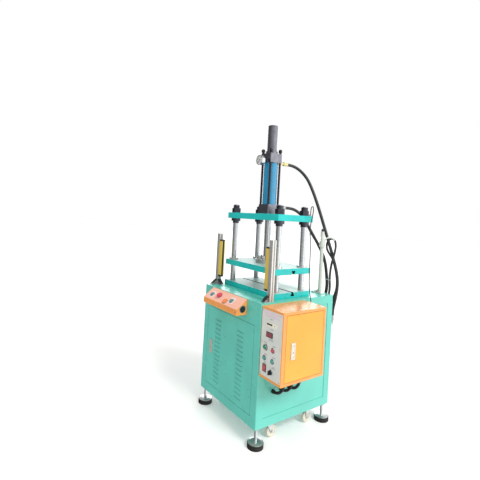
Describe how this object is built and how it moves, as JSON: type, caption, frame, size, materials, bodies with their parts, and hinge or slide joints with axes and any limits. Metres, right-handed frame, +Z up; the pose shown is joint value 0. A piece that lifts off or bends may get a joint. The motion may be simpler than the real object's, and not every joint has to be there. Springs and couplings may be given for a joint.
{
  "type": "four-column hydraulic press on a cabinet",
  "caption": "Hydraulic press: a cylinder drives a platen on guide columns above a slotted bed, on a steel cabinet with louvred door, control box and two-hand console.",
  "frame": {"origin": "on the floor, under the middle of the machine's bounding box without its hoses and cable", "axes": "+X to the operator's right, +Y to the back, +Z up along the columns and the cylinder"},
  "size_m": [0.865, 0.7876, 2.034],
  "materials": {
    "teal_paint": "semi-gloss light teal machine paint",
    "orange_paint": "semi-gloss orange powder coat",
    "blue_paint": "gloss blue enamel",
    "grey_paint": "satin pale grey panel",
    "dark_paint": "satin dark grey paint",
    "white_paint": "gloss white paint",
    "black_steel": "black oxide steel",
    "bright_steel": "ground and turned steel",
    "hard_chrome": "hard chromed, polished",
    "gauge_chrome": "polished case with a white dial",
    "post_aluminium": "natural anodised extrusion",
    "curtain_yellow": "yellow housing with black window and ends",
    "hose_rubber": "matte black hose cover",
    "foot_rubber": "grooved black rubber",
    "black_plastic": "black moulded plastic",
    "white_wheel": "cream nylon",
    "zinc": "bright zinc plate",
    "fitting_brass": "yellow zinc and brass fittings",
    "green_plastic": "green button",
    "red_plastic": "red button",
    "orange_plastic": "orange button",
    "grey_cast": "painted cast iron"
  },
  "bodies": {
    "press_frame": {"cabinet_shell": "teal_paint", "access_panels": "teal_paint", "foot_pads": "foot_rubber", "foot_studs": "zinc", "caster_mounts": "zinc", "bed_plate": "teal_paint", "top_plate": "teal_paint", "columns": "hard_chrome", "column_nuts": "black_steel", "cylinder_caps": "dark_paint", "cylinder_tube": "blue_paint", "tie_rods": "black_steel", "stroke_cover": "dark_paint", "gauge_case": "gauge_chrome", "curtain_posts": "post_aluminium", "post_brackets": "black_steel", "light_curtains": "curtain_yellow", "hose_pole": "white_paint", "two_hand_box": "orange_paint", "button_bezels": "black_plastic", "control_box": "orange_paint", "control_panel": "grey_paint", "conduits": "black_plastic", "oil_tank": "grey_cast", "motor": "blue_paint", "pump": "grey_cast", "valve_manifold": "bright_steel", "hose_fittings": "fitting_brass", "hose_a": "hose_rubber", "hose_b": "hose_rubber", "hose_c": "hose_rubber", "sensor_cable": "hose_rubber"},
    "ram_and_platen": {"ram_rod": "hard_chrome", "ram_flange": "bright_steel", "moving_platen": "teal_paint", "guide_bushes": "bright_steel"},
    "front_door_body": {"front_door": "teal_paint"},
    "front_lock_lever_body": {"front_lock_lever": "hard_chrome"},
    "box_door_body": {"box_door": "orange_paint"},
    "box_lock_lever_body": {"box_lock_lever": "hard_chrome"},
    "left_palm_button_body": {"left_palm_button": "black_plastic"},
    "right_palm_button_body": {"right_palm_button": "black_plastic"},
    "left_start_button_body": {"left_start_button": "green_plastic"},
    "stop_button_body": {"stop_button": "red_plastic"},
    "orange_button_body": {"orange_button": "orange_plastic"},
    "right_start_button_body": {"right_start_button": "green_plastic"},
    "panel_green_button_body": {"panel_green_button": "green_plastic"},
    "panel_red_button_body": {"panel_red_button": "red_plastic"},
    "panel_jog_up_button_body": {"panel_jog_up_button": "green_plastic"},
    "panel_jog_down_button_body": {"panel_jog_down_button": "green_plastic"},
    "rocker_switch_body": {"rocker_switch": "red_plastic"},
    "selector_knob_body": {"selector_knob": "black_plastic"},
    "gauge_needle_body": {"gauge_needle": "black_steel"},
    "motor_rotor_body": {"motor_rotor": "bright_steel"},
    "caster_fork_left_body": {"caster_fork_left": "zinc"},
    "caster_fork_right_body": {"caster_fork_right": "zinc"},
    "front_caster_wheel_left_body": {"front_caster_wheel_left": "white_wheel"},
    "front_caster_wheel_right_body": {"front_caster_wheel_right": "white_wheel"},
    "rear_caster_wheel_left_body": {"rear_caster_wheel_left": "white_wheel"},
    "rear_caster_wheel_right_body": {"rear_caster_wheel_right": "white_wheel"}
  },
  "joints": [
    {"name": "ram_stroke", "type": "slide", "parent": "press_frame", "child": "ram_and_platen", "axis": [0, 0, 1], "range_m": [-0.016, 0.184]},
    {"name": "front_door_hinge", "type": "hinge", "parent": "press_frame", "child": "front_door_body", "pos_m": [0.1765, -0.3005, 0.45], "axis": [0, 0, 1], "range_deg": [0, 110]},
    {"name": "front_lock_lift", "type": "hinge", "parent": "front_door_body", "child": "front_lock_lever_body", "pos_m": [-0.2925, -0.3067, 0.4165], "axis": [1, 0, 0], "range_deg": [0, 35]},
    {"name": "box_door_hinge", "type": "hinge", "parent": "press_frame", "child": "box_door_body", "pos_m": [0.4235, 0.0235, 0.65], "axis": [0, 0, 1], "range_deg": [0, 110]},
    {"name": "box_lock_lift", "type": "hinge", "parent": "box_door_body", "child": "box_lock_lever_body", "pos_m": [0.4297, -0.2155, 0.6045], "axis": [0, 1, 0], "range_deg": [0, 35]},
    {"name": "gauge_needle_turn", "type": "hinge", "parent": "press_frame", "child": "gauge_needle_body", "pos_m": [-0.0845, -0.1255, 1.777], "axis": [0, -1, 0], "range_deg": [-270, 0], "stiffness_Nm_per_rad": 0.0005, "springref_deg": 11.46},
    {"name": "motor_spin", "type": "hinge", "parent": "press_frame", "child": "motor_rotor_body", "pos_m": [-0.0845, 0.1865, 0.467], "axis": [1, 0, 0], "continuous": true},
    {"name": "rocker_tilt", "type": "hinge", "parent": "press_frame", "child": "rocker_switch_body", "pos_m": [0.2885, -0.2975, 0.5075], "axis": [1, 0, 0], "range_deg": [0, 16]},
    {"name": "selector_turn", "type": "hinge", "parent": "press_frame", "child": "selector_knob_body", "pos_m": [0.3465, -0.3005, 0.5015], "axis": [0, -1, 0], "range_deg": [-45, 45]},
    {"name": "left_palm_press", "type": "slide", "parent": "press_frame", "child": "left_palm_button_body", "axis": [1, 0, 0], "range_m": [0, 0.005], "stiffness_N_per_m": 800, "springref_m": -0.002},
    {"name": "right_palm_press", "type": "slide", "parent": "press_frame", "child": "right_palm_button_body", "axis": [-1, 0, 0], "range_m": [0, 0.005], "stiffness_N_per_m": 800, "springref_m": -0.002},
    {"name": "left_start_press", "type": "slide", "parent": "press_frame", "child": "left_start_button_body", "axis": [0, 0.6017, -0.7988], "range_m": [0, 0.003], "stiffness_N_per_m": 800, "springref_m": -0.002},
    {"name": "orange_press", "type": "slide", "parent": "press_frame", "child": "orange_button_body", "axis": [0, 0.6017, -0.7988], "range_m": [0, 0.003], "stiffness_N_per_m": 800, "springref_m": -0.002},
    {"name": "right_start_press", "type": "slide", "parent": "press_frame", "child": "right_start_button_body", "axis": [0, 0.6017, -0.7988], "range_m": [0, 0.003], "stiffness_N_per_m": 800, "springref_m": -0.002},
    {"name": "stop_press", "type": "slide", "parent": "press_frame", "child": "stop_button_body", "axis": [0, 0.6017, -0.7988], "range_m": [0, 0.004]},
    {"name": "panel_green_press", "type": "slide", "parent": "press_frame", "child": "panel_green_button_body", "axis": [0, 1, 0], "range_m": [0, 0.003], "stiffness_N_per_m": 800, "springref_m": -0.002},
    {"name": "panel_red_press", "type": "slide", "parent": "press_frame", "child": "panel_red_button_body", "axis": [0, 1, 0], "range_m": [0, 0.003], "stiffness_N_per_m": 800, "springref_m": -0.002},
    {"name": "panel_jog_up_press", "type": "slide", "parent": "press_frame", "child": "panel_jog_up_button_body", "axis": [0, 1, 0], "range_m": [0, 0.003], "stiffness_N_per_m": 800, "springref_m": -0.002},
    {"name": "panel_jog_down_press", "type": "slide", "parent": "press_frame", "child": "panel_jog_down_button_body", "axis": [0, 1, 0], "range_m": [0, 0.003], "stiffness_N_per_m": 800, "springref_m": -0.002},
    {"name": "caster_swivel_left", "type": "hinge", "parent": "press_frame", "child": "caster_fork_left_body", "pos_m": [-0.3525, -0.1545, 0.09], "axis": [0, 0, 1], "continuous": true},
    {"name": "front_wheel_spin_left", "type": "hinge", "parent": "caster_fork_left_body", "child": "front_caster_wheel_left_body", "pos_m": [-0.3525, -0.1295, 0.04], "axis": [1, 0, 0], "continuous": true},
    {"name": "rear_wheel_spin_left", "type": "hinge", "parent": "press_frame", "child": "rear_caster_wheel_left_body", "pos_m": [-0.3525, 0.1875, 0.04], "axis": [1, 0, 0], "continuous": true},
    {"name": "caster_swivel_right", "type": "hinge", "parent": "press_frame", "child": "caster_fork_right_body", "pos_m": [0.1835, -0.1545, 0.09], "axis": [0, 0, 1], "continuous": true},
    {"name": "front_wheel_spin_right", "type": "hinge", "parent": "caster_fork_right_body", "child": "front_caster_wheel_right_body", "pos_m": [0.1835, -0.1295, 0.04], "axis": [1, 0, 0], "continuous": true},
    {"name": "rear_wheel_spin_right", "type": "hinge", "parent": "press_frame", "child": "rear_caster_wheel_right_body", "pos_m": [0.1835, 0.1875, 0.04], "axis": [1, 0, 0], "continuous": true}
  ]
}
